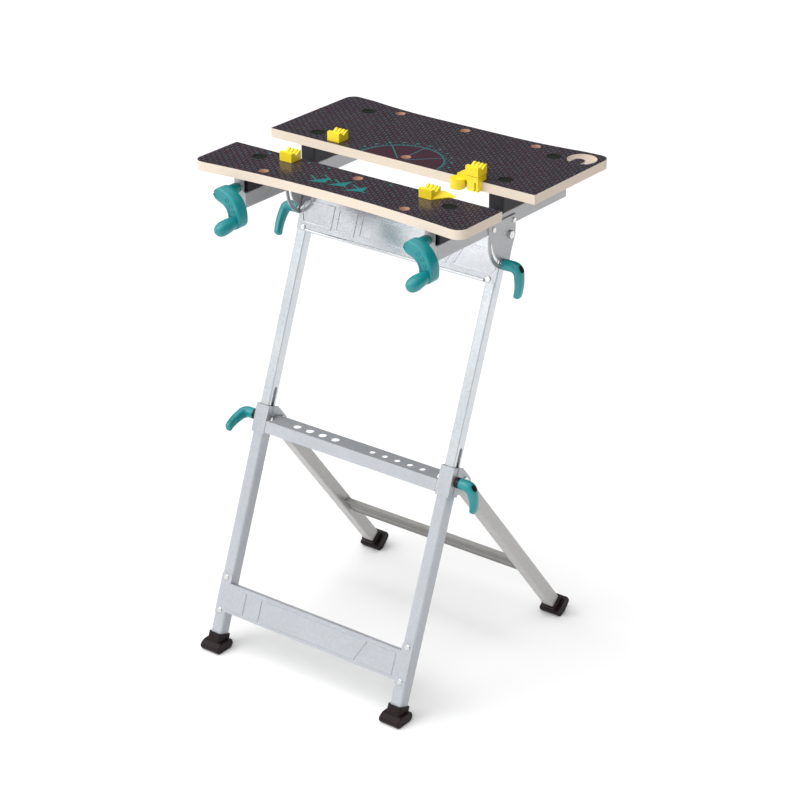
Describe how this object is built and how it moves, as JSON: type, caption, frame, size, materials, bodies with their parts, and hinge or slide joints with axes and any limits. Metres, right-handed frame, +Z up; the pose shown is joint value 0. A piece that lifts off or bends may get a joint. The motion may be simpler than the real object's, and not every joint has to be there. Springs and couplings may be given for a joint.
{
  "type": "work platform bench",
  "caption": "Folding work bench with two clamping worktop boards, screw cranks, tilting top and height-adjustable legs.",
  "frame": {"origin": "middle of the footprint at floor level", "axes": "+X along the long side of the worktop, +Y from the cranks towards the fixed board, +Z up"},
  "size_m": [0.62, 0.5838, 1.0305],
  "materials": {
    "board": "film faced plywood, satin",
    "cap": "satin",
    "grey_steel": "satin",
    "black_plastic": "moulded, fine texture",
    "brass_nut": "turned",
    "zinc_steel": "zinc plated",
    "teal_plastic": "moulded, semi gloss",
    "yellow_plastic": "moulded, semi gloss"
  },
  "bodies": {
    "base": {"left_lower_leg": "grey_steel", "right_lower_leg": "grey_steel", "left_collar": "grey_steel", "right_collar": "grey_steel", "middle_crossbar": "grey_steel", "lower_crossbar": "grey_steel", "crossbar_screws": "zinc_steel", "left_front_foot": "black_plastic", "right_front_foot": "black_plastic", "height_clamp_bolts": "zinc_steel", "fold_pivot_bolts": "zinc_steel", "left_height_washer": "black_plastic", "right_height_washer": "black_plastic"},
    "rear_frame": {"left_rear_leg": "grey_steel", "right_rear_leg": "grey_steel", "rear_strut": "grey_steel", "left_rear_foot": "black_plastic", "right_rear_foot": "black_plastic"},
    "upper_frame": {"left_upper_leg": "grey_steel", "right_upper_leg": "grey_steel", "apron": "grey_steel", "apron_screws": "zinc_steel", "tilt_pivot_bolts": "zinc_steel", "tilt_clamp_bolts": "zinc_steel", "left_tilt_washer": "zinc_steel", "right_tilt_washer": "zinc_steel"},
    "tabletop": {"rear_board": "board", "rear_board_bolt_caps": "cap", "rear_board_supports": "black_plastic", "left_rail": "grey_steel", "right_rail": "grey_steel", "left_swivel_plate": "grey_steel", "right_swivel_plate": "grey_steel", "swivel_plate_rivets": "zinc_steel"},
    "front_jaw_board": {"front_board": "board", "front_board_bolt_caps": "cap", "left_carrier": "black_plastic", "right_carrier": "black_plastic", "left_spindle_nut": "brass_nut", "right_spindle_nut": "brass_nut"},
    "left_screw": {"left_spindle": "zinc_steel", "left_crank": "teal_plastic"},
    "right_screw": {"right_spindle": "zinc_steel", "right_crank": "teal_plastic"},
    "left_tilt_clamp": {"left_tilt_lever": "teal_plastic"},
    "right_tilt_clamp": {"right_tilt_lever": "teal_plastic"},
    "left_height_clamp": {"left_height_lever": "teal_plastic"},
    "right_height_clamp": {"right_height_lever": "teal_plastic"},
    "bench_jaw_rear_left": {"rear_left_jaw": "yellow_plastic"},
    "bench_jaw_front_left": {"front_left_jaw": "yellow_plastic"},
    "bench_jaw_front_right": {"front_right_jaw": "yellow_plastic"},
    "bench_jaw_rear_right": {"rear_right_jaw": "yellow_plastic", "rear_right_stop": "yellow_plastic"}
  },
  "joints": [
    {"name": "rear_frame_fold", "type": "hinge", "parent": "base", "child": "rear_frame", "pos_m": [0, -0.07408, 0.443], "axis": [1, 0, 0], "range_deg": [-55, 0]},
    {"name": "height_adjust", "type": "slide", "parent": "base", "child": "upper_frame", "axis": [0, 0.3478, 0.9376], "range_m": [-0.06, 0.058]},
    {"name": "table_tilt", "type": "hinge", "parent": "upper_frame", "child": "tabletop", "pos_m": [0, 0.05965, 0.90055], "axis": [1, 0, 0], "range_deg": [0, 60]},
    {"name": "left_crank_turn", "type": "hinge", "parent": "tabletop", "child": "left_screw", "pos_m": [-0.221, -0.17208, 0.957], "axis": [0, 1, 0], "range_deg": [0, 5940]},
    {"name": "right_crank_turn", "type": "hinge", "parent": "tabletop", "child": "right_screw", "pos_m": [0.221, -0.17208, 0.957], "axis": [0, 1, 0], "range_deg": [0, 5941]},
    {"name": "jaw_travel", "type": "slide", "parent": "tabletop", "child": "front_jaw_board", "axis": [0, 1, 0], "range_m": [0, 0.0661]},
    {"name": "left_tilt_lever_turn", "type": "hinge", "parent": "upper_frame", "child": "left_tilt_clamp", "pos_m": [-0.27, 0.03869, 0.84806], "axis": [1, 0, 0], "range_deg": [-60, 60]},
    {"name": "right_tilt_lever_turn", "type": "hinge", "parent": "upper_frame", "child": "right_tilt_clamp", "pos_m": [0.27, 0.03869, 0.84806], "axis": [1, 0, 0], "range_deg": [-90, 30]},
    {"name": "left_height_lever_turn", "type": "hinge", "parent": "base", "child": "left_height_clamp", "pos_m": [-0.27, -0.10169, 0.451], "axis": [1, 0, 0], "range_deg": [-30, 90]},
    {"name": "right_height_lever_turn", "type": "hinge", "parent": "base", "child": "right_height_clamp", "pos_m": [0.27, -0.10169, 0.451], "axis": [1, 0, 0], "range_deg": [-90, 30]},
    {"name": "rear_left_jaw_swivel", "type": "hinge", "parent": "tabletop", "child": "bench_jaw_rear_left", "pos_m": [-0.1625, 0.05842, 0.99], "axis": [0, 0, 1], "continuous": true},
    {"name": "front_left_jaw_swivel", "type": "hinge", "parent": "front_jaw_board", "child": "bench_jaw_front_left", "pos_m": [-0.1625, -0.08558, 0.99], "axis": [0, 0, 1], "continuous": true},
    {"name": "front_right_jaw_swivel", "type": "hinge", "parent": "front_jaw_board", "child": "bench_jaw_front_right", "pos_m": [0.1625, -0.08558, 0.99], "axis": [0, 0, 1], "range_deg": [-40, 0]},
    {"name": "rear_right_jaw_lift", "type": "slide", "parent": "tabletop", "child": "bench_jaw_rear_right", "axis": [0, 0, 1], "range_m": [0, 0.03]}
  ],
  "couplings": [
    {"joint": "right_crank_turn", "follows": "left_crank_turn", "ratio": 1},
    {"joint": "jaw_travel", "follows": "left_crank_turn", "m_per_rad": 0.00063662}
  ]
}
